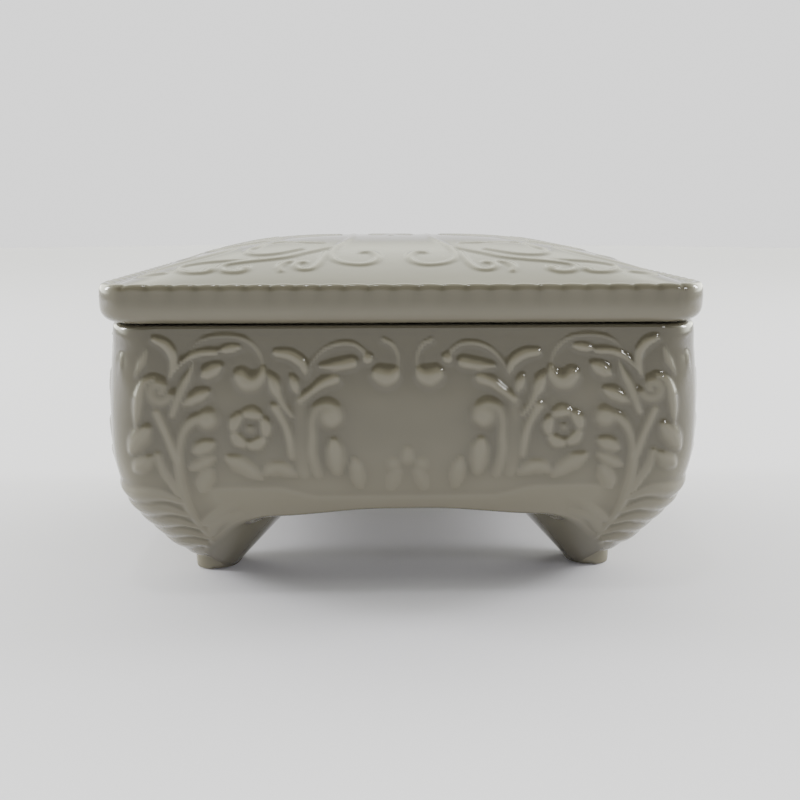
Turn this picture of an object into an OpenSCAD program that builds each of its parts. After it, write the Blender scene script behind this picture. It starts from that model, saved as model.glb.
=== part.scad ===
// Footed trinket box with a lift-off domed lid, slip-cast in two pieces and glazed.
// The front faces -Y. The feet stand on z = 0, and the origin is under the middle of the box.

/* [Base] */
// Width of the base at its widest, along X
base_w = 142.4; // [115:0.2:180]
// Depth of the base at its widest, along Y
base_d = 112.4; // [90:0.2:140]
// Height of the rim above the table
base_h = 65.5; // [58:0.5:75]
// Corner radius of the walls, seen from above
corner_r = 13; // [9:1:18]
// Thickness of the cast walls and floor
wall_t = 4; // [3:0.5:5]
// Height at which the walls are widest
belly_z = 38; // [34:1:42]
// How far the toes stand in from the widest part of the wall, at the two ends
toe_in_x = 17; // [15:0.5:18]
// The same at the front and the back
toe_in_y = 20; // [17:0.5:21]
// Corner radius of the toes, seen from above
toe_r = 5.5; // [4:0.5:7]
// Height of the plain toes below the curve of the wall
toe_h = 4.5; // [3:0.5:6]
// How far the rim stands in from the widest part of the wall
rim_in = 2.2; // [1:0.2:3]

/* [Feet] */
// Height of the open arches between the feet
arch_h = 20.5; // [17:0.5:22]
// Inner corner of a foot on the table, in from the widest part of the end wall
heel_in_x = 28; // [26:1:31]
// The same from the front or back wall
heel_in_y = 30.5; // [28:0.5:33]
// Inner corner of a foot at the top of the arch, in from the widest part of each wall
knee_in = 41; // [36:1:44]

/* [Lid] */
// Width of the lid over its rounded edge
lid_w = 140; // [112:1:184]
// Depth of the lid over its rounded edge
lid_d = 110; // [88:1:144]
// Corner radius of the lid, seen from above
lid_corner_r = 10; // [8:1:14]
// Height of the upright band around the lid
band_h = 9.1; // [7:0.1:12]
// Rise of the dome above the band
dome_h = 9.8; // [6:0.2:14]
// Width of the hollow moulding between the band and the dome
cove_w = 4; // [3:0.5:6]
// Gap between the lid and the rim it rests on, left by the glaze
seat_gap = 0.3; // [0.1:0.1:0.5]
// Depth of the locating flange below the rim
flange_h = 4; // [3:0.5:6]
// Thickness of the locating flange
flange_t = 3; // [2.5:0.5:4]
// Play of the locating flange inside the rim, on each side
flange_play = 1.2; // [1:0.1:1.6]
// How far to the left the loose lid lies, within that play
lid_shift = 0.6; // [0:0.1:0.9]

/* [Hidden] */
// Segments along each rounded corner
corner_steps = 8;
// Height of each step of the curved wall
wall_step = 2;
// Rounding of the cast edges
edge_r = 1.3;
// Reach of the wall's inward curve if it ran down to the table, and how steeply it turns in
tuck_in = 18.5;
tuck_curve = 2.1;
// How much the feet widen towards the wall, at the table and at the top of the arch
toe_spread = 0.65;
knee_spread = 0.3;
// Bluntness of the inner corner of a foot, at the table and at the top of the arch
heel_blunt = 3.5;
knee_blunt = 2;
// Corner radius lost for each millimetre that a ring stands in
radius_loss = 0.3;
floor_z = arch_h + 1.5 + wall_t;
lid_z = base_h + seat_gap;
band_top = lid_z + band_h;
flange_in = rim_in + wall_t + flange_play;
// Fullness of the dome along X and along Y: 2 is a parabola, and more is a flatter top with steeper ends
full_x = 3;
full_y = 2.1;
// Depths below the dome's top, as parts of its rise, at which its rings lie
dome_levels = [1, 0.92, 0.82, 0.7, 0.57, 0.44, 0.32, 0.21, 0.12, 0.06, 0.02, 0.003];
hollow_levels = [0.95, 0.75, 0.5, 0.25, 0.08, 0.005];
// Depth of the hollow moulding below the band's top edge
cove_dip = 0.6;
overlap = 0.1;

// How far the outside of the wall stands in from its widest plane at height z
function wall_in(z) = z < belly_z
    ? tuck_in * pow((belly_z - z) / belly_z, tuck_curve)
    : rim_in * pow((z - belly_z) / (base_h - belly_z), 2);

// Points of a rounded rectangle of the given half sizes at height z
function ring(half_x, half_y, r, z) = [
    for (corner = [0:3], k = [0:corner_steps])
        let (
            side_x = (corner == 0 || corner == 3) ? 1 : -1,
            side_y = corner < 2 ? 1 : -1,
            turn = 90 * (corner + k / corner_steps)
        )
        [side_x * (half_x - r) + r * cos(turn), side_y * (half_y - r) + r * sin(turn), z]
];

// A ring of the base, standing in by inset from its widest plane
function base_ring(inset, z) =
    ring(base_w / 2 - inset, base_d / 2 - inset, corner_r - radius_loss * inset, z);

// A ring of the four toes together, standing in by inset from their outer sides
function toe_ring(inset, z) =
    ring(base_w / 2 - toe_in_x - inset, base_d / 2 - toe_in_y - inset, toe_r - inset, z);

// A ring of the lid, standing in by inset from its outer edge
function lid_ring(inset, z) =
    ring(lid_w / 2 - inset, lid_d / 2 - inset, lid_corner_r - radius_loss * inset, z);

// A ring of the dome at a level, which is 1 at its edge and 0 at its top, thinner by skin
function dome_ring(level, skin) = let (
    half_x = pow(level, 1 / full_x) * (lid_w / 2 - cove_w - skin),
    half_y = pow(level, 1 / full_y) * (lid_d / 2 - cove_w - skin)
)
    ring(
        half_x,
        half_y,
        min(lid_corner_r - 1 + 14 * (1 - level), 0.9 * half_y),
        band_top - cove_dip - skin + (dome_h + cove_dip) * (1 - level)
    );

// A closed solid through a list of rings, from the lowest to the highest
module loft(rings) {
    n = len(rings[0]);
    last = len(rings) - 1;
    points = [for (one = rings, p = one) p];
    sides = [
        for (j = [0:last - 1], i = [0:n - 1], half = [0:1])
            let (a = j * n + i, b = j * n + (i + 1) % n)
            half == 0 ? [a, a + n, b] : [b, a + n, b + n]
    ];
    bottom = [[for (i = [0:n - 1]) i]];
    top = [[for (i = [n - 1:-1:0]) last * n + i]];
    polyhedron(points = points, faces = concat(bottom, sides, top), convexity = 4);
}

// The whole outside of the base, down to the table, before the arches are opened
module base_outside() {
    loft(concat(
        [toe_ring(edge_r, 0)],
        [toe_ring(0, edge_r)],
        [toe_ring(0, toe_h)],
        [for (z = [toe_h + 1:wall_step:base_h - 2 * edge_r]) base_ring(wall_in(z), z)],
        [base_ring(rim_in, base_h - edge_r)],
        [base_ring(rim_in + 0.3 * edge_r, base_h - 0.3 * edge_r)],
        [base_ring(rim_in + edge_r, base_h)]
    ));
}

// The space inside the walls, rounded at the floor
module base_cavity() {
    inner = wall_in(floor_z) + wall_t;
    loft(concat(
        [base_ring(inner + 3, floor_z)],
        [base_ring(inner + 1, floor_z + 1)],
        [base_ring(inner, floor_z + 3)],
        [for (z = [belly_z - 4, belly_z + 4]) base_ring(wall_t, z)],
        [base_ring(rim_in + wall_t, base_h - edge_r)],
        [base_ring(rim_in + wall_t - 0.5, base_h + overlap)]
    ));
}

// The hollow under the floor, between the aprons
module base_recess() {
    apron_in = wall_in(arch_h) + wall_t;
    loft([base_ring(apron_in, -1), base_ring(apron_in, floor_z - wall_t)]);
}

// One slice of the tapered block that a foot is cut from: its blunt inner corner, opening out to the walls
module foot_slice(inset_x, inset_y, blunt, spread, z) {
    x = base_w / 2 - inset_x;
    y = base_d / 2 - inset_y;
    reach = 2 * knee_in;
    translate([0, 0, z])
        linear_extrude(height = overlap)
            polygon([
                [x, y + blunt],
                [x + blunt, y],
                [x + reach, y + spread * reach],
                [x + reach, y + reach],
                [x + spread * reach, y + reach]
            ]);
}

module foot_block() {
    hull() {
        foot_slice(heel_in_x, heel_in_y, heel_blunt, toe_spread, -overlap);
        foot_slice(knee_in, knee_in, knee_blunt, knee_spread, arch_h + overlap);
    }
}

module feet() {
    for (side_x = [0, 1], side_y = [0, 1])
        mirror([side_x, 0, 0])
            mirror([0, side_y, 0])
                foot_block();
}

module base() {
    color("Ivory")
    difference() {
        intersection() {
            base_outside();
            union() {
                translate([-base_w, -base_d, arch_h])
                    cube([2 * base_w, 2 * base_d, base_h]);
                feet();
            }
        }
        base_cavity();
        difference() {
            base_recess();
            feet();
        }
    }
}

// The outside of the lid: band, rounded upper edge, hollow moulding and dome
module lid_outside() {
    loft(concat(
        [lid_ring(edge_r, lid_z)],
        [lid_ring(0.3 * edge_r, lid_z + 0.3 * edge_r)],
        [lid_ring(0, lid_z + edge_r)],
        [lid_ring(0, band_top - edge_r)],
        [lid_ring(0.3 * edge_r, band_top - 0.3 * edge_r)],
        [lid_ring(edge_r, band_top)],
        [lid_ring(cove_w - edge_r, band_top - overlap)],
        [for (level = dome_levels) dome_ring(level, 0)]
    ));
}

// The locating flange that hangs inside the rim
module lid_flange() {
    loft([
        base_ring(flange_in + 0.8, lid_z - flange_h),
        base_ring(flange_in, lid_z - flange_h + 1),
        base_ring(flange_in, lid_z + 2)
    ]);
}

// The hollow under the lid, which follows the dome
module lid_hollow() {
    mouth = flange_in + flange_t;
    loft(concat(
        [base_ring(mouth, lid_z - flange_h - overlap)],
        [base_ring(mouth, lid_z + 2)],
        [for (level = hollow_levels) dome_ring(level, wall_t)]
    ));
}

module lid() {
    color("Ivory")
    translate([-lid_shift, 0, 0])
    difference() {
        union() {
            lid_outside();
            lid_flange();
        }
        lid_hollow();
    }
}

base();
lid();
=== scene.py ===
"""The looks of a footed, slip-cast trinket box with a loose domed lid, in ivory glaze.

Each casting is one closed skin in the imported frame, drawn in millimetres and made in metres.
A skin is a set of columns that run round a rounded rectangle, and each column is a path from the
inside of the casting, over its edge and down its outside to its underside.
The relief is a list of strokes on each panel, as (distance from the panel's middle, height).
"""

import math

import bmesh
import bpy
import numpy as np
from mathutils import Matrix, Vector


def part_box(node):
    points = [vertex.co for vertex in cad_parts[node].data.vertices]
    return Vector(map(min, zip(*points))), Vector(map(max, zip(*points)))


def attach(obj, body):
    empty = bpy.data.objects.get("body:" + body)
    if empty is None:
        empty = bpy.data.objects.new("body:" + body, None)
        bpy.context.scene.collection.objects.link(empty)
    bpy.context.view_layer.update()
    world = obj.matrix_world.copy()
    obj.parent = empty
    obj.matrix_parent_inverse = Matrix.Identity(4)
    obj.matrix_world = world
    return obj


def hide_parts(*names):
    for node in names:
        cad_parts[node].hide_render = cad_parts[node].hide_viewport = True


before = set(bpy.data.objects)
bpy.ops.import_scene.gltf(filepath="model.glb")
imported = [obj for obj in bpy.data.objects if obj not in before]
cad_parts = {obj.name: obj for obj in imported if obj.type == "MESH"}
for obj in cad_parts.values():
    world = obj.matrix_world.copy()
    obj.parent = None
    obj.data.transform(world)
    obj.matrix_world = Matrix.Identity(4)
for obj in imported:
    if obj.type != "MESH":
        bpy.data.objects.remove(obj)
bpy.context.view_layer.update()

MM = 0.001

# ---------------------------------------------------------------- sizes, in millimetres

base_high = np.array(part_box("base")[1]) / MM
lid_low, lid_high = (np.array(corner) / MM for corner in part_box("lid"))

HALF_X, HALF_Y, RIM_Z = base_high
CORNER_R = 13.0
RADIUS_LOSS = 0.3       # corner radius lost for each millimetre that a ring stands in
WALL_T = 4.0
SKIN = 0.8              # the plain wall stands this far inside the CAD wall, for the relief
FOOT_SKIN = 1.3         # and this much further in on the feet, for their ribs
BELLY_Z = 38.0
RIM_IN = 2.2
TUCK_IN, TUCK_CURVE = 18.5, 2.1
TOE_IN_X, TOE_IN_Y, TOE_H = 17.0, 20.0, 4.6
TOE_R = 5.9
TOE_ROUND = 1.9         # rounding of the toe where it meets the table
EDGE_R, RIM_R, INNER_RIM_R = 1.2, 1.4, 1.0
FLOOR_FILLET = 4.0      # rounding between the floor inside and the wall
LOW_WEAR = 0.3          # the part of its height that the panels' relief loses low down
UNDER_SHADE = 0.3        # painted shade under the box and on the inner sides of the feet, given as a pooling value

ARCH_H = 19.3           # underside of the aprons near the feet
ARCH_RISE = 2.0         # and how much higher it is in the middle of each side
ROOF_Z = 22.5           # underside of the floor
FLOOR_Z = 26.0
LIP_T = 4.0             # thickness of the aprons
HEEL_IN_X, HEEL_IN_Y, KNEE_IN, KNEE_Z = 28.0, 30.5, 41.0, 20.5
HEEL_SPREAD, SPREAD_LOSS = 0.69, 0.021
FEET_INNER = 43.0       # a ring this far in lies inside all four feet

LID_HALF_X, LID_HALF_Y = (lid_high - lid_low)[:2] / 2
LID_X = (lid_high + lid_low)[0] / 2
LID_CORNER_R = 9.0
FLANGE_H = 4.0
FLANGE_PLAY = 1.2       # between the flange and the inside of the rim, on each side
FLANGE_CORNER_R = 11.0
HOLLOW_EDGE_H = 4.4     # height of the hollow's edge above the seat
SEAT_Z = lid_low[2] + FLANGE_H
BAND_TOP = SEAT_Z + 9.1
RELIEF_ROOM = 0.5       # the plain dome stays this far under the CAD dome
COVE_W = 4.0
COVE_DIP = 0.6
DOME_H = lid_high[2] - BAND_TOP - RELIEF_ROOM
DOME_CORNER_R = 8.5
FULL_X, FULL_Y, DOME_BLEND = 7.5, 5.25, 2.5

COLUMN_GAP = 0.68
WALL_ROWS = 112
LID_GRID_GAP = 0.56

# ---------------------------------------------------------------- relief of the base
# A stroke is (points, radii, height). Its points are (a, z): the distance from the middle of the
# panel and the height above the table. Radii are half-widths, spread evenly from end to end.


def leaf(start, end, radius, height=1.0):
    """A leaf from its tip to its root."""
    return [start, end], [0.45 * radius, radius, 1.05 * radius, 0.6 * radius], height


def spot(point, radius, height=1.0):
    return [point], [radius], height


def line(points, radii, height=1.0):
    return points, radii, height


def spiral(centre, start_r, end_r, start_deg, turn_deg, radii, height=1.0):
    """A scroll that winds in from start_r to end_r about its centre."""
    steps = 24
    points = []
    for k in range(steps + 1):
        r = start_r + (end_r - start_r) * k / steps
        angle = math.radians(start_deg + turn_deg * k / steps)
        points.append((centre[0] + r * math.cos(angle), centre[1] + r * math.sin(angle)))
    return points, radii, height


def flower(centre, reach, petal_r):
    """Five broad petals about a small sunken middle."""
    petals = []
    for k in range(5):
        points = []
        for part in (-20, 0, 20):
            angle = math.radians(100 + 72 * k + part)
            points.append((centre[0] + reach * math.cos(angle), centre[1] + reach * math.sin(angle)))
        petals.append(line(points, [0.8 * petal_r, petal_r, 0.8 * petal_r], 1.1))
    return petals + [spot(centre, 1.1, 0.65)]


CORNER_RELIEF = [
    # the high C-scroll over the flower, a thin line which ends in a comma
    line(
        [(50.5, 58.6), (48.6, 61.2), (45.4, 62.7), (41.2, 63.1), (37.5, 62.4), (34.8, 60.4), (33.4, 57.8),
         (33.2, 55.2)],
        [0.5, 0.55, 0.6, 0.6, 0.65, 0.8], 0.5,
    ),
    line([(33.1, 56.0), (33.4, 54.0), (34.9, 52.7), (36.8, 52.8), (38.0, 54.0)], [0.7, 1.3, 1.8, 1.9, 1.6]),
    # the twig and leaves inside the scroll
    line([(53, 55.5), (50.5, 58), (47.5, 59.3), (44, 59.5)], [0.5, 0.9, 0.8]),
    leaf((43, 59.9), (38.6, 60.7), 0.9),
    leaf((46.8, 54.2), (43.1, 56.3), 1.4),
    leaf((51, 47.9), (45.8, 50.5), 1.4),
    # the ball-ended leaf and the three lobes under it
    line([(52.5, 34.5), (52, 38.5), (50.7, 42), (48.4, 44.2), (45.9, 44.5)], [0.9, 0.9, 1.0, 1.2, 1.6], 0.85),
    spot((45.7, 44.3), 2.3),
    leaf((48.8, 37), (44.8, 38.6), 1.5),
    leaf((49.8, 32.8), (44.8, 35.3), 1.3),
    leaf((48.6, 27.5), (45.8, 32), 1.5),
    # the main stem, from the foot up to the rim
    line([(52.9, 26), (52.8, 31), (52.6, 35.5)], [1.0, 1.0, 1.0]),
    line([(52.9, 35), (54.6, 40), (57, 46)], [1.0, 0.9, 1.0]),
    line([(53.5, 45.5), (51.8, 50.2), (49.8, 54.5), (48.9, 57)], [0.8, 1.2, 1.0, 0.5]),
    # the volute at the corner, with its tail
    spiral((56.4, 51.0), 2.6, 0.4, 210, 400, [1.3, 1.5, 1.5, 1.2], 0.9),
    line([(57.5, 54.0), (59.8, 52.6), (60.9, 49.5), (61.5, 46), (61.7, 42.5)], [0.6, 1.0, 1.3, 1.0, 0.4]),
    # leaves over the volute
    line([(57.8, 62.4), (55.3, 61.2), (53.7, 59), (53.4, 56.5), (54, 54)], [0.6, 1.0, 1.1, 1.0, 0.6]),
    line([(59.6, 60), (60.4, 57.5), (61.8, 54.5)], [0.5, 1.0, 0.5], 0.6),
    leaf((67.3, 58.3), (69.3, 52.8), 1.1, 0.8),
    # leaves under the volute
    leaf((63.5, 36.8), (59.3, 42), 1.9),
    leaf((63.2, 32.3), (58.8, 35.2), 1.5),
    line([(57.2, 36), (56.4, 32.3), (55.2, 29.5), (54.3, 26.5)], [0.8, 0.9, 0.8]),
    # leaves under the flower
    line([(41.2, 35.2), (38, 33.4), (34.2, 30.4)], [0.8, 1.8, 1.5, 0.6]),
    line([(33.2, 31.2), (31.6, 32.4), (29, 32.6), (26.2, 31)], [0.5, 1.5, 1.5, 0.5]),
    # the plant that bounds the middle field: its stem, twig, leaves and high arm
    line([(26.6, 35.5), (27, 39.5), (28, 43), (30.2, 47)], [0.8, 1.0, 1.0, 1.1]),
    line([(24.2, 31.5), (24.4, 37), (24.4, 42), (24.6, 48)], [1.2, 1.9, 1.8, 1.2], 0.5),
    leaf((31.5, 54.3), (29.5, 49.8), 1.3),
    line([(29.5, 50), (28.3, 47.5), (26.5, 45)], [0.9, 0.8, 0.7]),
    leaf((26.5, 54), (25.3, 50.5), 1.0),
    line([(30.1, 59.3), (27, 58.8), (24.5, 57.2), (23.5, 55.2)], [0.8, 1.1, 1.1, 0.7]),
] + flower((36, 42), 3.7, 1.3)

FRONT_MIDDLE_RELIEF = [
    # the wide arc over the middle field, and the leaves under it
    line(
        [(23.3, 54.3), (21.5, 57.6), (19, 60.1), (15.7, 61.3), (12.5, 61.2), (10.4, 59.8), (9.4, 58.2)],
        [0.5, 0.6, 0.6, 0.6, 0.6, 0.8], 0.6,
    ),
    spot((9.2, 57.9), 1.1),
    line([(20, 56.2), (16.4, 56.3), (12.8, 57)], [0.5, 1.2, 1.2]),
    line([(24.5, 48.6), (21.8, 50.6), (19.5, 52.3), (16.8, 53.5)], [1.0, 0.9, 1.1, 1.3]),
    # the scroll with a ball at its end
    line(
        [(20.9, 31), (22.0, 36), (21.9, 40), (21.8, 43.5), (20.8, 46.4), (18.5, 47.3), (16.8, 46.4),
         (16.3, 44.6), (17.4, 43.6)],
        [0.8, 1.1, 1.2, 1.2, 1.2, 1.3, 1.4, 1.5, 1.5], 0.85,
    ),
    spot((18.0, 44.8), 2.6, 1.1),
    # leaves along the foot of the middle field
    leaf((17, 39.2), (16.3, 32), 1.8),
    leaf((12.3, 34.6), (11.3, 28.3), 1.3),
]

SIDE_MIDDLE_RELIEF = [
    # short leaves in place of the wide arc, on the narrower panel
    line([(9.5, 48.6), (6.8, 50.6), (4.6, 51.2)], [1.0, 0.9, 1.0]),
    leaf((9.6, 38.4), (8.2, 31.6), 1.5),
]

CENTRE_RELIEF = [
    # the pair of hooks under the rim
    line([(5.6, 62.2), (3.4, 61), (2.3, 58.8), (2.2, 56.6), (2.9, 54.6)], [0.5, 0.55, 0.6, 0.7, 1.0], 0.55),
    line([(2.6, 55.2), (3.5, 54.1), (5.0, 53.7), (6.6, 54.4)], [0.9, 1.6, 2.0, 1.6]),
    # the palmette over the arch
    line([(0, 36.6), (0, 34.8)], [1.0, 1.3], 0.55),
    spot((3.3, 33.4), 1.3, 0.55),
    line([(2.5, 31.5), (3.2, 29.8), (3.9, 27.8)], [1.0, 1.3, 0.9], 0.6),
]

FOOT_RELIEF = [
    # the spine of the foot
    line([(52.9, 26), (53.4, 19), (54, 12)], [1.0, 0.9, 0.6], 0.6),
    # ridges on the side of the arch
    line([(52, 17.5), (48, 20), (44, 22.5), (40, 24.5)], [0.8, 1.0, 0.9, 0.4], 0.6),
    line([(53, 14), (49, 17.5), (45, 19.5), (41, 20.8)], [0.8, 1.0, 0.9, 0.4], 0.6),
]
for rib_z in (24.2, 20.2, 16.4, 12.9, 9.6):
    FOOT_RELIEF.append(
        line(
            [(54.5, rib_z), (58.5, rib_z + 1.8), (63, rib_z + 1.4), (68.4, rib_z + 0.6), (72, rib_z + 0.6)],
            [0.6, 1.2, 1.6, 1.7, 1.7], 0.8,
        )
    )

SIDE_SHIFT = 15.0       # the side panels are this much shorter from middle to corner
RELIEF_SPREAD = 1.6     # a stroke runs out into the wall at this many half-widths
RELIEF_POWER = 6.0      # how sharply crossing strokes merge
RELIEF_H = 0.9          # height of a broad stroke
BORDER_H = 0.3          # height of the border along the arch
BOX_GAP = 0.03          # the relief stays this far inside the widest planes of the CAD base
BASE_WAVE, LID_WAVE = 0.1, 0.08
CORNER_A = HALF_X - CORNER_R + CORNER_R * math.pi / 4

# ---------------------------------------------------------------- relief of the lid
# Points are (|x|, y) from the middle of the lid, for y towards the front; every quarter has them.

LID_RELIEF = [
    # the big C of each quarter, from the middle of the lid to its hooked end
    line(
        [(10.5, 4), (10.3, -5), (10.5, -12), (12, -19.5), (13.7, -25), (14.9, -30), (15.1, -34),
         (14.2, -37.3), (11.5, -39.5), (7.7, -40.2), (5, -38.8), (3.9, -36), (4.5, -32.8), (6, -31),
         (7.5, -31.3)],
        [0.6, 0.7, 0.7, 0.7, 0.7, 0.8, 0.9],
    ),
    line(
        [(16.5, -31), (17.2, -36), (18.2, -40.2), (19.8, -42.8), (22.2, -43.1), (23.7, -41.4),
         (23.4, -39.3), (21.8, -38.6)],
        [0.6, 0.65, 0.7, 0.8],
    ),
    line([(24.9, -38), (26.8, -39.2), (27.7, -41.5), (27.2, -44)], [0.6, 0.8, 0.6]),
    line(
        [(14.2, -25.5), (18, -28.8), (22, -31.8), (26, -34.8), (31, -36.6), (36.5, -38), (41, -39.7),
         (42, -41.7), (40.8, -43.8), (38, -44.4), (36, -43.2), (36, -41.8)],
        [0.7, 0.8, 0.8, 0.8, 0.8, 0.9],
    ),
    line(
        [(34, -36.5), (42, -36.8), (48.5, -37.4), (52, -38.8), (51.6, -42), (48.8, -44), (45, -44),
         (43.8, -42.3)],
        [0.6, 0.8, 0.8, 0.8],
    ),
    line([(60.5, -37), (55, -34.5), (48.5, -31), (43.5, -27.3), (40.5, -23.5)], [0.7, 1.2, 1.2, 0.6], 0.8),
    line(
        [(33.4, -20.3), (35.3, -25.5), (37, -27.9), (37.1, -30.5), (35.6, -32.5), (32.4, -32.9),
         (28.5, -31.7), (23, -28)],
        [0.6, 0.8, 0.8, 0.6],
    ),
    line([(31.7, -20.6), (29, -19.2), (25.5, -19.8), (21.5, -21.2), (17.5, -21.5)], [0.5, 0.7, 0.7, 0.5]),
    # the balls that end the curls, and the short leaf beyond them
    spot((36.3, -42.4), 1.2),
    spot((44.3, -42.9), 1.2),
    line([(61, -41.2), (58.5, -42.0), (55.2, -42.6)], [0.8, 1.2, 0.8]),
    # the middle motif and the fronds towards the short sides
    line([(0, 0), (0, -6)], [1.4, 1.2, 0.5], 0.8),
    line([(0, 0), (5.5, -3.2)], [1.4, 1.0, 0.5], 0.8),
    line(
        [(14, -2), (22, -5.5), (30, -7), (38, -5.5), (42, -9), (39.5, -12.5), (36, -11)],
        [0.5, 0.8, 0.8, 0.8],
    ),
    line([(26, -6), (31, -13), (38, -17), (46, -17.5), (50, -14), (47.5, -10.5)], [0.5, 0.8, 0.8, 0.8]),
    line([(52, -4), (56.5, -9), (57.5, -16), (55.5, -23), (51, -26.5)], [0.5, 1.0, 1.0, 0.6], 0.8),
    line([(60.5, 0), (54, -1.5), (47, -1)], [0.6, 1.2, 0.6], 0.8),
]

LID_RELIEF_H = 0.55
LID_RELIEF_SHIFT = 2.0  # the pattern's middle lies this far to the left of the lid's middle

BEAD_PITCH = 5.5
BEAD_DEPTH = 0.4
BEAD_FULLNESS = 0.45    # 1 is a cosine, and less is a broader bead with a narrower notch


# ---------------------------------------------------------------- shapes

def smoothstep(t):
    t = np.clip(t, 0.0, 1.0)
    return t * t * (3 - 2 * t)


def smooth_min(a, b, k):
    """The smaller of two values, rounded off where they are within k of each other."""
    h = np.maximum(k - np.abs(a - b), 0.0) / k
    return np.minimum(a, b) - h * h * k / 4


def smooth_max(a, b, k):
    return -smooth_min(-a, -b, k)


def smooth_path(points, step=0.25):
    """Points along a curve through the given points (Catmull-Rom), about one step apart."""
    points = np.array(points, float)
    if len(points) == 1:
        return points, np.zeros(1)
    ends = np.vstack([2 * points[0] - points[1], points, 2 * points[-1] - points[-2]])
    curve = [points[:1]]
    for p0, p1, p2, p3 in zip(ends, ends[1:], ends[2:], ends[3:]):
        count = max(2, int(math.ceil(np.linalg.norm(p2 - p1) / step)))
        t = (np.arange(1, count + 1) / count)[:, None]
        curve.append(
            0.5 * (2 * p1 + (p2 - p0) * t + (2 * p0 - 5 * p1 + 4 * p2 - p3) * t**2
                   + (3 * p1 - p0 - 3 * p2 + p3) * t**3)
        )
    curve = np.vstack(curve)
    lengths = np.concatenate([[0], np.cumsum(np.linalg.norm(np.diff(curve, axis=0), axis=1))])
    return curve, lengths / lengths[-1]


def relief_height(a, z, strokes, tallest):
    """Height of the relief at points (a, z): round-topped strokes that merge where they cross."""
    shape = a.shape
    a, z = a.ravel(), z.ravel()
    total = np.zeros(a.size)
    for points, radii, height in strokes:
        path, along = smooth_path(points)
        radius = np.interp(along, np.linspace(0, 1, len(radii)), radii)
        reach = RELIEF_SPREAD * radius.max()
        near = np.nonzero(
            (a > path[:, 0].min() - reach) & (a < path[:, 0].max() + reach)
            & (z > path[:, 1].min() - reach) & (z < path[:, 1].max() + reach)
        )[0]
        if not near.size:
            continue
        best = np.zeros(near.size)
        for (pa, pz), r in zip(path, radius):
            t2 = ((a[near] - pa) ** 2 + (z[near] - pz) ** 2) / (RELIEF_SPREAD * r) ** 2
            crest = tallest * height * min(1.0, 0.5 + 0.4 * r)
            best = np.maximum(best, crest * np.clip(1 - t2, 0, None) ** 1.5)
        total[near] += best ** RELIEF_POWER
    return (total ** (1 / RELIEF_POWER)).reshape(shape)


def shifted(strokes, shift):
    return [([(a - shift, z) for a, z in points], radii, height) for points, radii, height in strokes]


class Columns:
    """Columns round a rounded rectangle: each one's place on the straight sides and its outward way."""

    def __init__(self, fx, fy, nx, ny):
        self.fx, self.fy, self.nx, self.ny = fx, fy, nx, ny

    def place(self, half_x, half_y, radius):
        """The plan of one ring. The half sizes and the radius are numbers, or arrays by column."""
        x = self.fx * (half_x - radius) + radius * self.nx
        y = self.fy * (half_y - radius) + radius * self.ny
        return x, y

    def half(self):
        return Columns(self.fx[::2], self.fy[::2], self.nx[::2], self.ny[::2])


def even_columns(half_x, half_y, radius, gap):
    """Columns about one gap apart, anticlockwise from the left end of the front."""
    sides = [(-1, -1, 1, 0), (1, -1, 0, 1), (1, 1, -1, 0), (-1, 1, 0, -1)]
    parts = []

    def add(fx, fy, nx, ny):
        parts.append(np.broadcast_arrays(fx, fy, nx, ny))

    for number, (sx, sy, along_x, along_y) in enumerate(sides):
        flat = 2 * (half_x - radius if along_x else half_y - radius)
        count = 2 * int(round(flat / gap / 2))
        t = 2 * np.arange(count) / count
        out = math.radians(-90 + 90 * number)
        add(sx + along_x * t, sy + along_y * t, math.cos(out), math.sin(out))
        count = 2 * int(round(radius * math.pi / 2 / gap / 2))
        turn = out + np.arange(count) / count * math.pi / 2
        add(sx + 2.0 * along_x, sy + 2.0 * along_y, np.cos(turn), np.sin(turn))
    return Columns(*(np.concatenate(one) for one in zip(*parts)))


def panel_place(columns, half_x, half_y, radius):
    """For each column, its distance from the middle of its panel, and whether the panel is a long one."""
    turn = np.arctan2(np.abs(columns.nx), np.abs(columns.ny))
    long_panel = turn <= math.pi / 4 + 1e-9
    from_long = np.abs(columns.fx) * (half_x - radius) + radius * turn
    from_short = np.abs(columns.fy) * (half_y - radius) + radius * (math.pi / 2 - turn)
    return np.where(long_panel, from_long, from_short), long_panel


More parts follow.
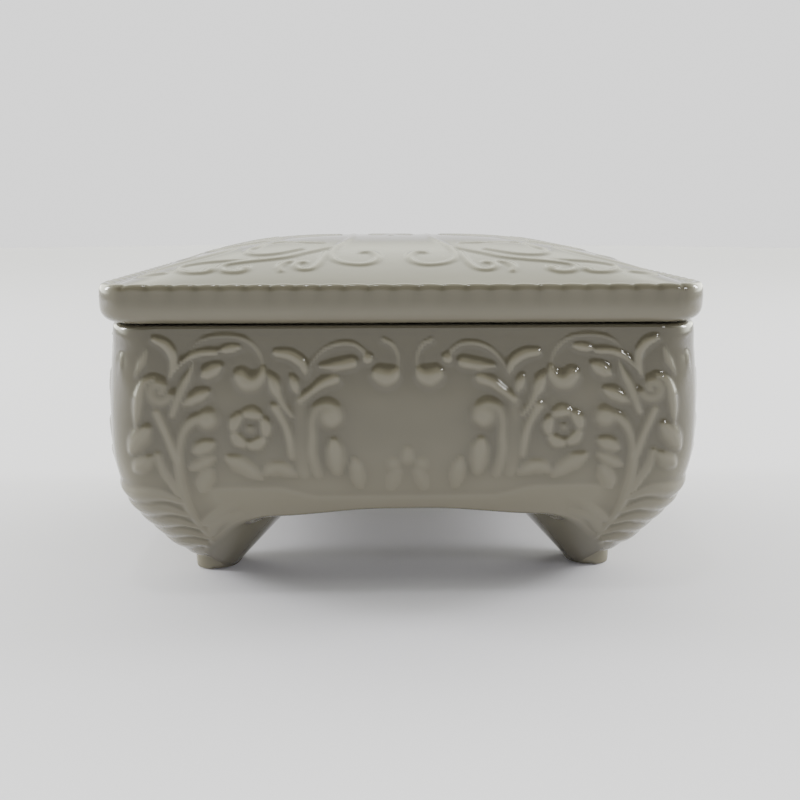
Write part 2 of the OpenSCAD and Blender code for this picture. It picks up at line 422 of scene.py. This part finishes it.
class Skin:
    """A mesh made ring by ring. Neighbouring rings have as many points as each other, or twice or half."""

    def __init__(self):
        self.points, self.faces, self.pool, self.bare = [], [], [], []
        self.count = 0
        self.last = None

    def add(self, x, y, z, pool=0.0, bare=0.0):
        """Adds points and returns their numbers."""
        size = np.size(x)
        block = np.stack([np.broadcast_to(v, size).astype(float) for v in (x, y, z)], axis=1)
        self.points.append(block)
        self.pool.append(np.broadcast_to(pool, size).astype(float))
        self.bare.append(np.broadcast_to(bare, size).astype(float))
        numbers = np.arange(self.count, self.count + size)
        self.count += size
        return numbers

    def ring(self, x, y, z, pool=0.0, bare=0.0, kept=None):
        """Adds a ring and joins it to the last one. Where kept is true, a column keeps its last point."""
        size = np.size(x)
        fresh = np.ones(size, bool) if kept is None else ~kept
        numbers = np.zeros(size, int) if kept is None else self.last.copy()
        numbers[fresh] = self.add(*(np.broadcast_to(v, size)[fresh] for v in (x, y, z, pool, bare)))
        if self.last is not None:
            self.join(self.last, numbers)
        self.last = numbers

    def join(self, one, two):
        one_next, two_next = np.roll(one, -1), np.roll(two, -1)
        if len(one) == len(two):
            self.faces += np.stack([one, one_next, two_next, two], axis=1).tolist()
        elif len(two) == 1:
            self.faces += [[a, b, two[0]] for a, b in zip(one.tolist(), one_next.tolist())]
        elif len(one) == 1:
            self.faces += [[b, a, one[0]] for a, b in zip(two.tolist(), two_next.tolist())]
        elif len(one) == 2 * len(two):
            self.faces += np.stack([one[::2], one[1::2], two], axis=1).tolist()
            self.faces += np.stack([one[1::2], one_next[1::2], two_next, two], axis=1).tolist()
        else:
            self.faces += np.stack([one, two[1::2], two[::2]], axis=1).tolist()
            self.faces += np.stack([one, one_next, two_next[1::2], two[1::2]], axis=1).tolist()

    def make(self, name):
        """The finished object, in metres, with its faces turned outwards."""
        faces = [[v for k, v in enumerate(face) if v != face[k - 1]] for face in self.faces]
        faces = [face for face in faces if len(face) > 2]
        mesh = bpy.data.meshes.new(name)
        mesh.from_pydata((np.vstack(self.points) * MM).tolist(), [], faces)
        work = bmesh.new()
        work.from_mesh(mesh)
        bmesh.ops.recalc_face_normals(work, faces=work.faces)
        work.to_mesh(mesh)
        work.free()
        mesh.polygons.foreach_set("use_smooth", np.ones(len(mesh.polygons), bool))
        # the first attribute: glaze pooling together with painted shade where positive and painted highlight
        # where negative; the second: bare clay
        for label, values in (("pool", self.pool), ("bare", self.bare)):
            attribute = mesh.attributes.new(label, "FLOAT", "POINT")
            attribute.data.foreach_set("value", np.concatenate(values).astype(np.float32))
        piece = bpy.data.objects.new(name, mesh)
        bpy.context.scene.collection.objects.link(piece)
        return piece


def blurred(values, reach, wrap):
    """A soft average over a few rows and columns."""
    for axis in (0, 1):
        for _ in range(3):
            pad = [(0, 0), (0, 0)]
            pad[axis] = (reach, reach)
            mode = "wrap" if wrap and axis == 1 else "edge"
            run = np.cumsum(np.pad(values, pad, mode=mode), axis=axis)
            first = np.take(run, [0], axis=axis) * 0
            run = np.concatenate([first, run], axis=axis)
            size = values.shape[axis]
            high = np.take(run, np.arange(size) + 2 * reach + 1, axis=axis)
            low = np.take(run, np.arange(size), axis=axis)
            values = (high - low) / (2 * reach + 1)
    return values


def waviness(x, y, z, depth):
    """The slow unevenness of a fired casting."""
    return depth * (
        0.5 * np.sin(x / 17.0 + z / 23.0 + 0.7) + 0.3 * np.sin(y / 13.0 - z / 19.0 + 2.1)
        + 0.3 * np.sin(x / 9.1 - y / 11.3 + z / 10.7 + 4.0)
    )


# ---------------------------------------------------------------- base

def wall_in(z, toe_in=TOE_IN_X):
    """How far the plain wall stands in from the widest plane at height z, with the neck over the toe."""
    tuck = TUCK_IN * (np.clip(BELLY_Z - z, 0, None) / BELLY_Z) ** TUCK_CURVE
    rim = RIM_IN * (np.clip(z - BELLY_Z, 0, None) / (RIM_Z - BELLY_Z)) ** 2
    skin = SKIN * (1 - 0.6 * smoothstep((z - 58) / 7)) + FOOT_SKIN * smoothstep((24 - z) / 12)
    toe = smoothstep((TOE_H + 1.2 - z) / 1.8)
    return (tuck + rim + skin) * (1 - toe) + toe_in * toe


def base_plan(columns, inset):
    radius = np.maximum(CORNER_R - RADIUS_LOSS * inset, 0.4)
    return columns.place(HALF_X - inset, HALF_Y - inset, radius)


def foot_level(x, y):
    """Height at which a point under the box meets its foot: a leg that opens out from its heel to the walls,
    joined to a round toe that is flat on the table."""
    rise = (KNEE_IN - HEEL_IN_X) / KNEE_Z
    from_heel_x = np.abs(x) - (HALF_X - HEEL_IN_X)
    from_heel_y = np.abs(y) - (HALF_Y - HEEL_IN_Y)

    def face(across, along):
        a = SPREAD_LOSS * rise
        b = rise * (1 - HEEL_SPREAD) + SPREAD_LOSS * along
        c = across - HEEL_SPREAD * along
        return (-b + np.sqrt(np.clip(b * b - 4 * a * c, 0, None))) / (2 * a)

    leg = smooth_max(face(from_heel_x, from_heel_y), face(from_heel_y, from_heel_x), 4.0)
    toe_x, toe_y = HALF_X - TOE_IN_X - TOE_R, HALF_Y - TOE_IN_Y - TOE_R
    from_axis = np.hypot(np.abs(x) - toe_x, np.abs(y) - toe_y)
    round_in = np.clip(from_axis - (TOE_R - TOE_ROUND), 0, 0.96 * TOE_ROUND)
    toe = TOE_ROUND - np.sqrt(TOE_ROUND**2 - round_in**2)
    toe = toe + 1.1 * np.clip(from_axis - TOE_R + 0.04 * TOE_ROUND, 0, None)
    return smooth_min(smooth_max(leg, 0.0 * x, 2.0), toe, 2.0)


def underside(x, y, arch, inset):
    """Height of the underside at a point: aprons, the floor inside them, feet, and flat toes."""
    lip_in = TUCK_IN * ((BELLY_Z - ARCH_H) / BELLY_Z) ** TUCK_CURVE + SKIN + LIP_T
    roof = arch + (ROOF_Z - arch) * smoothstep((inset - lip_in) / 1.5)
    return np.maximum(smooth_min(foot_level(x, y), roof, 5.0), 0.0)


def make_base():
    columns = even_columns(HALF_X, HALF_Y, CORNER_R, COLUMN_GAP)
    a, long_panel = panel_place(columns, HALF_X - SKIN, HALF_Y - SKIN, CORNER_R - RADIUS_LOSS * SKIN)
    arch = ARCH_H + ARCH_RISE * (1 - smoothstep((a - 6) / 28))
    toe_in = TOE_IN_X * columns.nx**2 + TOE_IN_Y * columns.ny**2
    count = len(a)
    skin = Skin()

    # the inside: the floor, its rounded edge, the wall and the rim
    inner = columns.half()
    floor_in = TUCK_IN * ((BELLY_Z - FLOOR_Z) / BELLY_Z) ** TUCK_CURVE + WALL_T
    skin.ring([0.0], [0.0], [FLOOR_Z])
    edge_x, edge_y = base_plan(inner, floor_in + FLOOR_FILLET)
    for part in (0.2, 0.45, 0.7, 0.9):
        skin.ring(edge_x * part, edge_y * part, FLOOR_Z)
    for turn in np.radians(np.arange(0, 91, 15)):
        x, y = base_plan(inner, floor_in + FLOOR_FILLET * (1 - math.sin(turn)))
        skin.ring(x, y, FLOOR_Z + FLOOR_FILLET * (1 - math.cos(turn)))
    for z in np.linspace(FLOOR_Z + 1.5 * FLOOR_FILLET, RIM_Z - RIM_R, 14):
        inset = WALL_T + 0.12 * max(BELLY_Z - z, 0) + RIM_IN * (max(z - BELLY_Z, 0) / (RIM_Z - BELLY_Z)) ** 2
        x, y = base_plan(inner, inset)
        skin.ring(x, y, z)
    outer_in = float(wall_in(np.array(RIM_Z - RIM_R)))
    inner_in = RIM_IN + WALL_T
    for turn in np.radians(np.arange(15, 91, 15)):
        x, y = base_plan(columns, inner_in - INNER_RIM_R * (1 - math.cos(turn)))
        skin.ring(x, y, RIM_Z - INNER_RIM_R * (1 - math.sin(turn)), bare=0.6 * math.sin(turn) ** 4)
    squareness = 0.55 + 0.9 * np.abs(columns.nx * columns.ny)
    for turn in np.radians(np.arange(90, -1, -15)):
        across, up = max(math.cos(turn), 0.0) ** squareness, math.sin(turn) ** squareness
        x, y = base_plan(columns, outer_in + RIM_R * (1 - across))
        skin.ring(x, y, RIM_Z - RIM_R * (1 - up), bare=0.3 * math.sin(turn) ** 40)

    # where each column's wall meets the underside
    levels = np.arange(32.0, -0.01, -0.05)
    inset_grid = wall_in(levels[:, None], toe_in[None])
    x, y = base_plan(columns, inset_grid)
    gap = levels[:, None] - underside(x, y, arch[None], inset_grid)
    met = np.argmax(gap <= 0, axis=0)
    met[gap.min(axis=0) > 0] = len(levels) - 1
    low_z = levels[met]

    # the outside of the wall: the same levels all round the box, down to the rounding at each column's foot
    round_r = EDGE_R * (1 - 0.5 * smoothstep((6 - low_z) / 3))
    fine_z = np.linspace(RIM_Z - RIM_R, 0.0, 1200)
    run = np.concatenate([[0], np.cumsum(np.hypot(np.diff(wall_in(fine_z)), np.diff(fine_z)))])
    levels = np.interp(np.linspace(0, run[-1], WALL_ROWS), run, fine_z)
    end_z = np.interp(np.interp(-low_z, -fine_z, run) - round_r, run, fine_z)
    wall_z = np.maximum(levels[:, None], end_z[None])
    wall_inset = wall_in(wall_z, toe_in[None])
    a_grid = np.broadcast_to(a[None], wall_z.shape)

    front = relief_height(a_grid, wall_z, CORNER_RELIEF + FRONT_MIDDLE_RELIEF + CENTRE_RELIEF, RELIEF_H)
    side = relief_height(
        a_grid, wall_z, shifted(CORNER_RELIEF, SIDE_SHIFT) + SIDE_MIDDLE_RELIEF + CENTRE_RELIEF, RELIEF_H
    )
    mirrored = np.where(long_panel[None], a_grid, a_grid + SIDE_SHIFT)
    round_corner = np.where(
        long_panel[None], smoothstep((CORNER_A - mirrored) / 2.5), smoothstep((CORNER_A - 6 - mirrored) / 5)
    )
    worn = 1 - LOW_WEAR * smoothstep((38 - wall_z) / 10)
    relief = np.where(long_panel[None], front, side) * round_corner * worn
    relief = np.maximum(relief, relief_height(mirrored, wall_z, FOOT_RELIEF, RELIEF_H))
    border_top = 26.0 + 2.5 * smoothstep((mirrored - 20) / 12)
    border = BORDER_H * smoothstep((border_top - wall_z) / 1.6) * smoothstep((50 - mirrored) / 6)
    fade = smoothstep((wall_z - 5.6) / 1.4) * smoothstep((RIM_Z - RIM_R - wall_z) / 0.8)
    relief = np.maximum(relief, border) + 0.35 * np.minimum(relief, border)
    # pooling value beside the strokes: positive in the hollows, for pooled glaze and painted shade there;
    # negative on the crests, for thin glaze and a painted highlight
    pool = blurred(relief, 3, wrap=True) - relief
    relief = relief * fade

    slope = (wall_in(wall_z + 0.05, toe_in[None]) - wall_in(wall_z - 0.05, toe_in[None])) / 0.1
    lean = np.sqrt(1 + slope * slope)
    x, y = base_plan(columns, wall_inset)
    out = relief + waviness(x, y, wall_z, BASE_WAVE) * fade
    out = smooth_min(out, wall_inset - BOX_GAP, 0.4)
    wall_x = x + columns.nx * out / lean
    wall_y = y + columns.ny * out / lean
    wall_up = wall_z + out * slope / lean
    for row in range(1, WALL_ROWS):
        ended = wall_z[row - 1] <= end_z
        skin.ring(wall_x[row], wall_y[row], wall_up[row], pool=pool[row], kept=ended)

    # the rounding at the foot of the wall, then the underside in to the middle
    corner_in = wall_in(low_z, toe_in)
    start_in = corner_in + round_r
    start_x, start_y = base_plan(columns, start_in)
    start_z = underside(start_x, start_y, arch, start_in)
    corner_x, corner_y = base_plan(columns, corner_in)
    top = (wall_x[-1], wall_y[-1], wall_up[-1])
    for t in (0.2, 0.4, 0.6, 0.8, 1.0):
        mix = [(1 - t) ** 2 * p + 2 * t * (1 - t) * q + t * t * r
               for p, q, r in zip(top, (corner_x, corner_y, low_z), (start_x, start_y, start_z))]
        # painted shade, growing round the foot of the wall into the underside
        skin.ring(*mix, pool=t * UNDER_SHADE, bare=smoothstep((0.35 - mix[2]) / 0.25))
    under = columns.half()
    start_in, arch_half = start_in[::2], arch[::2]
    for t in np.linspace(0, 1, 38)[1:]:
        inset = start_in + (FEET_INNER - start_in) * t
        x, y = base_plan(under, inset)
        z = underside(x, y, arch_half, inset)
        # painted shade under the box and on the inner sides of the feet
        skin.ring(x, y, z, pool=UNDER_SHADE, bare=smoothstep((0.35 - z) / 0.25))
    for part in (0.6, 0.25):
        skin.ring(x * part, y * part, ROOF_Z)
    skin.ring([0.0], [0.0], [ROOF_Z])
    return skin.make("base_glazed")


# ---------------------------------------------------------------- lid

def lid_plan(columns, inset, radius=None):
    radius = LID_CORNER_R - RADIUS_LOSS * inset if radius is None else radius
    return columns.place(LID_HALF_X - inset, LID_HALF_Y - inset, radius)


def make_lid():
    half_x, half_y, r = LID_HALF_X - COVE_W, LID_HALF_Y - COVE_W, DOME_CORNER_R
    nx = 4 * int(round(half_x / LID_GRID_GAP / 2))
    ny = 4 * int(round(half_y / LID_GRID_GAP / 2))
    u, v = np.meshgrid(np.linspace(-1, 1, nx + 1), np.linspace(-1, 1, ny + 1), indexing="ij")
    edge_x = np.clip(np.abs(u) * half_x - (half_x - r), 0, None) / r
    edge_y = np.clip(np.abs(v) * half_y - (half_y - r), 0, None) / r
    out_x = edge_x * np.sqrt(1 - edge_y**2 / 2)
    out_y = edge_y * np.sqrt(1 - edge_x**2 / 2)
    flat_x = np.clip(u * half_x, -(half_x - r), half_x - r)
    flat_y = np.clip(v * half_y, -(half_y - r), half_y - r)
    x = flat_x + r * np.sign(u) * out_x
    y = flat_y + r * np.sign(v) * out_y

    rise_x, rise_y = np.abs(u) ** FULL_X, np.abs(v) ** FULL_Y
    steep = (rise_x + rise_y - rise_x * rise_y) ** (1 / DOME_BLEND)
    z = BAND_TOP - COVE_DIP + (DOME_H + COVE_DIP) * (1 - steep)
    to_edge = np.minimum(half_x - np.abs(x), half_y - np.abs(y))
    fade = smoothstep(to_edge / 3.0)
    pattern_x = x + LID_RELIEF_SHIFT * (1 - 0.6 * smoothstep((np.abs(x) - 15) / 25))
    relief = relief_height(np.abs(pattern_x), -np.abs(y), LID_RELIEF, LID_RELIEF_H) * fade
    # pooling value beside the strokes: positive in the hollows, for pooled glaze and painted shade there;
    # negative on the crests, for thin glaze and a painted highlight
    pool = blurred(relief, 3, wrap=False) - relief
    z = z + relief * np.where(steep < 0.15, 0.6, 1.0) + waviness(x, y, z, LID_WAVE) * fade

    skin = Skin()
    numbers = skin.add((x + LID_X).ravel(), y.ravel(), z.ravel(), pool.ravel()).reshape(nx + 1, ny + 1)
    squares = np.stack([numbers[:-1, :-1], numbers[1:, :-1], numbers[1:, 1:], numbers[:-1, 1:]], axis=-1)
    skin.faces += squares.reshape(-1, 4).tolist()

    # the grid's edge, anticlockwise from the front left, carries on as columns
    def edge_of(grid):
        return np.concatenate([grid[:-1, 0], grid[-1, :-1], grid[:0:-1, -1], grid[0, :0:-1]])

    skin.last = edge_of(numbers)
    on_x, on_y = edge_of(np.sign(u) * out_x), edge_of(np.sign(v) * out_y)
    side_x = np.where(np.abs(edge_of(u)) > 1 - 1e-9, np.sign(edge_of(u)), 0.0)
    side_y = np.where(np.abs(edge_of(v)) > 1 - 1e-9, np.sign(edge_of(v)), 0.0)
    in_corner = (edge_of(edge_x) > 0) & (edge_of(edge_y) > 0)
    columns = Columns(
        edge_of(flat_x) / (half_x - r),
        edge_of(flat_y) / (half_y - r),
        np.where(in_corner, on_x, side_x * (side_y == 0)),
        np.where(in_corner, on_y, side_y),
    )
    a, long_panel = panel_place(columns, LID_HALF_X, LID_HALF_Y, LID_CORNER_R)
    flat_half = np.where(long_panel, LID_HALF_X, LID_HALF_Y) - LID_CORNER_R
    bead = np.abs(np.cos(math.pi * a / BEAD_PITCH)) ** BEAD_FULLNESS
    notch = (1 - bead) * (1 - 0.75 * smoothstep((a - flat_half) / 8))

    # (inset, height, outward way, share of the bead's notch) from the cove down to the seat
    profile = [
        (3.5, -0.66, 90, 0.0), (3.0, -0.62, 100, 0.1), (2.6, -0.45, 125, 0.4), (2.2, -0.2, 120, 0.8),
        (1.8, -0.05, 105, 1.0), (1.4, 0.0, 85, 1.0), (1.0, -0.08, 65, 1.0), (0.65, -0.3, 45, 1.0),
        (0.4, -0.65, 28, 0.9), (0.25, -1.1, 15, 0.7), (0.15, -1.6, 8, 0.5), (0.1, -2.3, 0, 0.35),
        (0.05, -3.2, 0, 0.28), (0.05, -4.2, 0, 0.22), (0.05, -5.2, 0, 0.15), (0.1, -6.0, 0, 0.1),
        (0.25, -6.8, -10, 0.05), (0.55, -7.5, -25, 0.0), (0.95, -8.1, -38, 0.0), (1.5, -8.6, -52, 0.0),
        (2.1, -8.95, -70, 0.0), (2.8, -9.1, -90, 0.0),
    ]
    for inset, height, way, share in profile:
        radius = DOME_CORNER_R + (LID_CORNER_R - DOME_CORNER_R) * (1 - inset / COVE_W)
        px, py = lid_plan(columns, inset, radius)
        inwards = BEAD_DEPTH * share * notch
        level = math.sin(math.radians(way))
        flat = math.cos(math.radians(way))
        # the pooling value darkens the notches between beads with painted shade and lightens the beads with a
        # painted highlight
        skin.ring(
            px - columns.nx * inwards * flat + LID_X,
            py - columns.ny * inwards * flat,
            BAND_TOP + height - inwards * level,
            pool=share * (0.2 * notch - 0.25 * bead),
        )

    # the seat, the flange and the hollow
    inner = columns.half()
    flange_in = LID_HALF_X - (HALF_X - RIM_IN - WALL_T - FLANGE_PLAY)
    for inset in (4.2, 5.6):
        px, py = lid_plan(inner, inset, FLANGE_CORNER_R)
        skin.ring(px + LID_X, py, SEAT_Z, bare=0.6)
    # (inset past the flange's outside, height from the seat, bareness)
    for inset, height, bare in (
        (0.0, -0.4, 0.3), (0.0, -2.0, 0.0), (0.1, -3.0, 0.0), (0.6, -3.8, 0.0), (1.4, -FLANGE_H, 0.0),
        (2.3, -3.8, 0.0), (2.9, -3.0, 0.0), (3.0, -1.0, 0.0), (3.0, 1.5, 0.0), (3.4, 3.2, 0.0),
        (4.4, HOLLOW_EDGE_H, 0.0),
    ):
        px, py = lid_plan(inner, flange_in + inset, FLANGE_CORNER_R)
        skin.ring(px + LID_X, py, SEAT_Z + height, bare=bare)
    ceiling = BAND_TOP + DOME_H - WALL_T
    from_z = SEAT_Z + HOLLOW_EDGE_H
    for part in (0.93, 0.85, 0.75, 0.62, 0.45, 0.25):
        skin.ring(px * part + LID_X, py * part, from_z + (ceiling - from_z) * (1 - part**3.2))
    skin.ring([LID_X], [0.0], [ceiling])
    return skin.make("lid_glazed")


# ---------------------------------------------------------------- glaze

# the glaze tones are set far darker than ivory: painted shade over the whole box
IVORY = (0.097, 0.088, 0.063, 1)
# a lighter ivory: random tone and thin glaze on the crests, and also painted light low on the base and on the
# lower lid band, and painted highlight on crests and beads
IVORY_THIN_AND_LIT = (0.165, 0.152, 0.112, 1)
# a darker ivory: glaze pooled in the hollows, and also painted shade in the hollows, high on the base under
# the lid, in the bead notches and under the box
IVORY_POOLED_AND_SHADED = (0.071, 0.064, 0.045, 1)
BISQUE = (0.20, 0.18, 0.15, 1)
IRON = (0.06, 0.05, 0.04, 1)


def node(tree, kind, inputs=None, **settings):
    made = tree.nodes.new(kind)
    for key, value in settings.items():
        setattr(made, key, value)
    for key, value in (inputs or {}).items():
        if isinstance(value, bpy.types.NodeSocket):
            tree.links.new(value, made.inputs[key])
        else:
            made.inputs[key].default_value = value
    return made


def mix_colour(tree, factor, one, two):
    return node(tree, "ShaderNodeMix", {0: factor, 6: one, 7: two}, data_type="RGBA").outputs[2]


def ranged(tree, value, from_low, from_high, to_low, to_high, kind="LINEAR"):
    return node(
        tree, "ShaderNodeMapRange",
        {"Value": value, "From Min": from_low, "From Max": from_high, "To Min": to_low, "To Max": to_high},
        interpolation_type=kind,
    ).outputs[0]


def glaze(name, shift, painted_light_bands, specks):
    """Glossy ivory glaze with a few iron specks. Where the pooling-and-shade value is positive it is darker,
    for glaze pooled in the hollows and for painted shade there, in the bead notches and under the box; where
    it is negative it is lighter, for thin glaze on the ridges and a painted highlight on them and on the
    lid's beads.
    Bands by height add painted light and shade. A band is (the height where it starts, where it is full, its
    share, its colour), and a speck is (its place, its radius), in millimetres."""
    material = bpy.data.materials.new(name)
    material.use_nodes = True
    tree = material.node_tree
    tree.nodes.clear()
    place = node(tree, "ShaderNodeTexCoord").outputs["Object"]
    moved = node(tree, "ShaderNodeVectorMath", {0: place, 1: (shift, 0.3 * shift, 0.0)}).outputs[0]

    cloud = node(tree, "ShaderNodeTexNoise", {"Vector": moved, "Scale": 38.0, "Detail": 3.0}).outputs["Fac"]
    grain = node(tree, "ShaderNodeTexNoise", {"Vector": moved, "Scale": 420.0, "Detail": 2.0}).outputs["Fac"]
    peel = node(tree, "ShaderNodeTexNoise", {"Vector": moved, "Scale": 260.0, "Detail": 1.0}).outputs["Fac"]
    pool = node(tree, "ShaderNodeAttribute", attribute_name="pool").outputs["Fac"]
    bare = node(tree, "ShaderNodeAttribute", attribute_name="bare").outputs["Fac"]

    height = node(tree, "ShaderNodeSeparateXYZ", {0: place}).outputs["Z"]
    colour = mix_colour(tree, ranged(tree, cloud, 0.3, 0.7, 0.0, 0.2), IVORY, IVORY_THIN_AND_LIT)
    # bands of painted light and shade by height
    for start, full, share, tone in painted_light_bands:
        part = ranged(tree, height, start * MM, full * MM, 0.0, share, "SMOOTHSTEP")
        colour = mix_colour(tree, part, colour, tone)
    # darker where the pooling-and-shade value is positive: pooled glaze, with painted shade in the hollows,
    # bead notches and under the box
    colour = mix_colour(tree, ranged(tree, pool, 0.0, 0.35, 0.0, 0.65), colour, IVORY_POOLED_AND_SHADED)
    # lighter where it is negative: thin glaze on the crests, with a painted highlight on them and on the
    # beads
    colour = mix_colour(tree, ranged(tree, pool, -0.03, -0.4, 0.0, 0.9), colour, IVORY_THIN_AND_LIT)
    for centre, radius in specks:
        away = node(
            tree, "ShaderNodeVectorMath", {0: place, 1: [c * MM for c in centre]}, operation="DISTANCE"
        ).outputs["Value"]
        colour = mix_colour(tree, ranged(tree, away, radius * MM, 0.5 * radius * MM, 0.0, 0.85), colour, IRON)
    colour = mix_colour(tree, bare, colour, BISQUE)

    smooth_rough = ranged(tree, grain, 0.3, 0.7, 0.07, 0.13)
    rough = node(tree, "ShaderNodeMix", {0: bare, 2: smooth_rough, 3: 0.7}, data_type="FLOAT").outputs[0]
    bump = node(tree, "ShaderNodeBump", {"Height": peel, "Strength": 0.25, "Distance": 0.00012}).outputs[0]
    shader = node(
        tree, "ShaderNodeBsdfPrincipled",
        {"Base Color": colour, "Roughness": rough, "Normal": bump, "IOR": 1.46},
    )
    out = node(tree, "ShaderNodeOutputMaterial")
    tree.links.new(shader.outputs[0], out.inputs["Surface"])
    return material


# ---------------------------------------------------------------- pieces

base = make_base()
base.data.materials.append(
    glaze(
        "ivory_glaze_base",
        0.0,
        # bands of painted light: the wall lighter low down, as if lit from the floor, and darker high up, as
        # painted shade under the lid
        [(43, 25, 0.95, IVORY_THIN_AND_LIT), (47, 62, 0.85, IVORY_POOLED_AND_SHADED)],
        [((26.5, -53.2, 27.5), 0.5), ((-3.0, -53.0, 25.8), 0.35), ((-0.8, -52.6, 24.9), 0.35)],
    )
)
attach(base, "base")
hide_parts("base")

lid = make_lid()
lid.data.materials.append(
    # a band of painted light: the lower part of the lid's band lighter, a painted reflection of the floor
    glaze("ivory_glaze_lid", 0.37, [(71.5, 67.5, 0.6, IVORY_THIN_AND_LIT)], [((21.0, 8.0, 84.0), 0.4)])
)
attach(lid, "lid")
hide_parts("lid")

# ---------------------------------------------------------------- floor, light and camera

FLOOR_HALF = 3.0        # metres


def make_floor():
    """A wide pale floor that dips very slightly away from the box, so that it has no visible edge."""
    work = bmesh.new()
    steps = 24
    rows = []
    for i in range(steps + 1):
        row = []
        for j in range(steps + 1):
            x = FLOOR_HALF * (2 * i / steps - 1)
            y = FLOOR_HALF * (2 * j / steps - 1)
            away = max(math.hypot(x, y) - 1.0, 0.0)
            row.append(work.verts.new((x, y, -0.01 * away * away)))
        rows.append(row)
    for i in range(steps):
        for j in range(steps):
            work.faces.new((rows[i][j], rows[i + 1][j], rows[i + 1][j + 1], rows[i][j + 1]))
    mesh = bpy.data.meshes.new("floor")
    work.to_mesh(mesh)
    work.free()
    floor = bpy.data.objects.new("floor", mesh)
    bpy.context.scene.collection.objects.link(floor)
    material = bpy.data.materials.new("pale_floor")
    material.use_nodes = True
    shader = material.node_tree.nodes["Principled BSDF"]
    shader.inputs["Base Color"].default_value = (0.675, 0.667, 0.737, 1)
    shader.inputs["Roughness"].default_value = 0.9
    mesh.materials.append(material)
    return floor


make_floor()


def area_light(name, place, aim, width, height, watts, colour=(1, 1, 1)):
    light = bpy.data.lights.new(name, "AREA")
    light.shape = "RECTANGLE"
    light.size, light.size_y = width, height
    light.energy = watts
    light.color = colour
    lamp = bpy.data.objects.new(name, light)
    lamp.location = place
    lamp.rotation_euler = (Vector(aim) - Vector(place)).to_track_quat("-Z", "Y").to_euler()
    bpy.context.scene.collection.objects.link(lamp)
    return lamp


middle = (0.0, 0.0, 0.04)
area_light("left lamp", (-1.0, 0.15, 0.42), middle, 0.2, 0.3, 8.0)
area_light("right lamp", (1.0, 0.15, 0.42), middle, 0.2, 0.3, 8.0)
area_light("high lamp", (-0.1, -0.2, 1.0), middle, 0.06, 0.06, 1.0)
area_light("glint lamp", (0.5, -0.5, 0.42), middle, 0.07, 0.07, 0.7)

# radiance of the studio: above and behind the box, over the camera, all round near the horizon
# (where it must match the floor), and of the glows at either side and high behind it
SKY_HIGH, SKY_FRONT, SKY_LOW, SKY_SIDE, SKY_BACK = 1.5, 0.05, 1.52, 9.0, 2.0
WARM = (0.985, 1.0, 0.87, 1)


def sky():
    world = bpy.data.worlds.new("studio")
    world.use_nodes = True
    tree = world.node_tree
    tree.nodes.clear()
    way = node(tree, "ShaderNodeTexCoord").outputs["Generated"]
    parts = node(tree, "ShaderNodeSeparateXYZ", {0: way}).outputs
    sideways = node(tree, "ShaderNodeMath", {0: parts["X"]}, operation="ABSOLUTE").outputs[0]

    def glow(strength, limits):
        for value, start, full in limits:
            share = ranged(tree, value, start, full, 0.0, 1.0, "SMOOTHSTEP")
            strength = node(tree, "ShaderNodeMath", {0: strength, 1: share}, operation="MULTIPLY").outputs[0]
        return strength

    side = glow(
        SKY_SIDE,
        [(sideways, 0.42, 0.7), (parts["Y"], -0.3, 0.4), (parts["Z"], 0.8, 0.2), (parts["Z"], -0.02, 0.06)],
    )
    back = glow(SKY_BACK, [(parts["Y"], 0.3, 0.6), (parts["Z"], 0.28, 0.48)])
    high = ranged(tree, parts["Y"], -0.55, -0.15, SKY_FRONT, SKY_HIGH)
    above = ranged(tree, parts["Z"], 0.22, 0.40, 0.0, 1.0)
    plain = node(tree, "ShaderNodeMix", {0: above, 2: SKY_LOW, 3: high}, data_type="FLOAT").outputs[0]
    glows = node(tree, "ShaderNodeMath", {0: side, 1: back}, operation="ADD").outputs[0]
    strength = node(tree, "ShaderNodeMath", {0: plain, 1: glows}, operation="ADD").outputs[0]
    tinted = node(tree, "ShaderNodeMath", {0: above, 1: glows}, operation="ADD", use_clamp=True).outputs[0]
    colour = mix_colour(tree, tinted, (1.0, 1.0, 1.0, 1), WARM)
    background = node(tree, "ShaderNodeBackground", {"Color": colour, "Strength": strength})
    out = node(tree, "ShaderNodeOutputWorld")
    tree.links.new(background.outputs[0], out.inputs["Surface"])
    bpy.context.scene.world = world


sky()

camera = bpy.data.objects.new("camera", bpy.data.cameras.new("camera"))
camera.data.sensor_width = 36.0
camera.data.lens = 41.47
camera.location = (-0.0085, -0.2607, 0.09185)
camera.rotation_euler = Vector((0.0321, 0.9780, -0.2061)).to_track_quat("-Z", "Y").to_euler()
camera.data.clip_start = 0.01
bpy.context.scene.collection.objects.link(camera)
bpy.context.scene.camera = camera
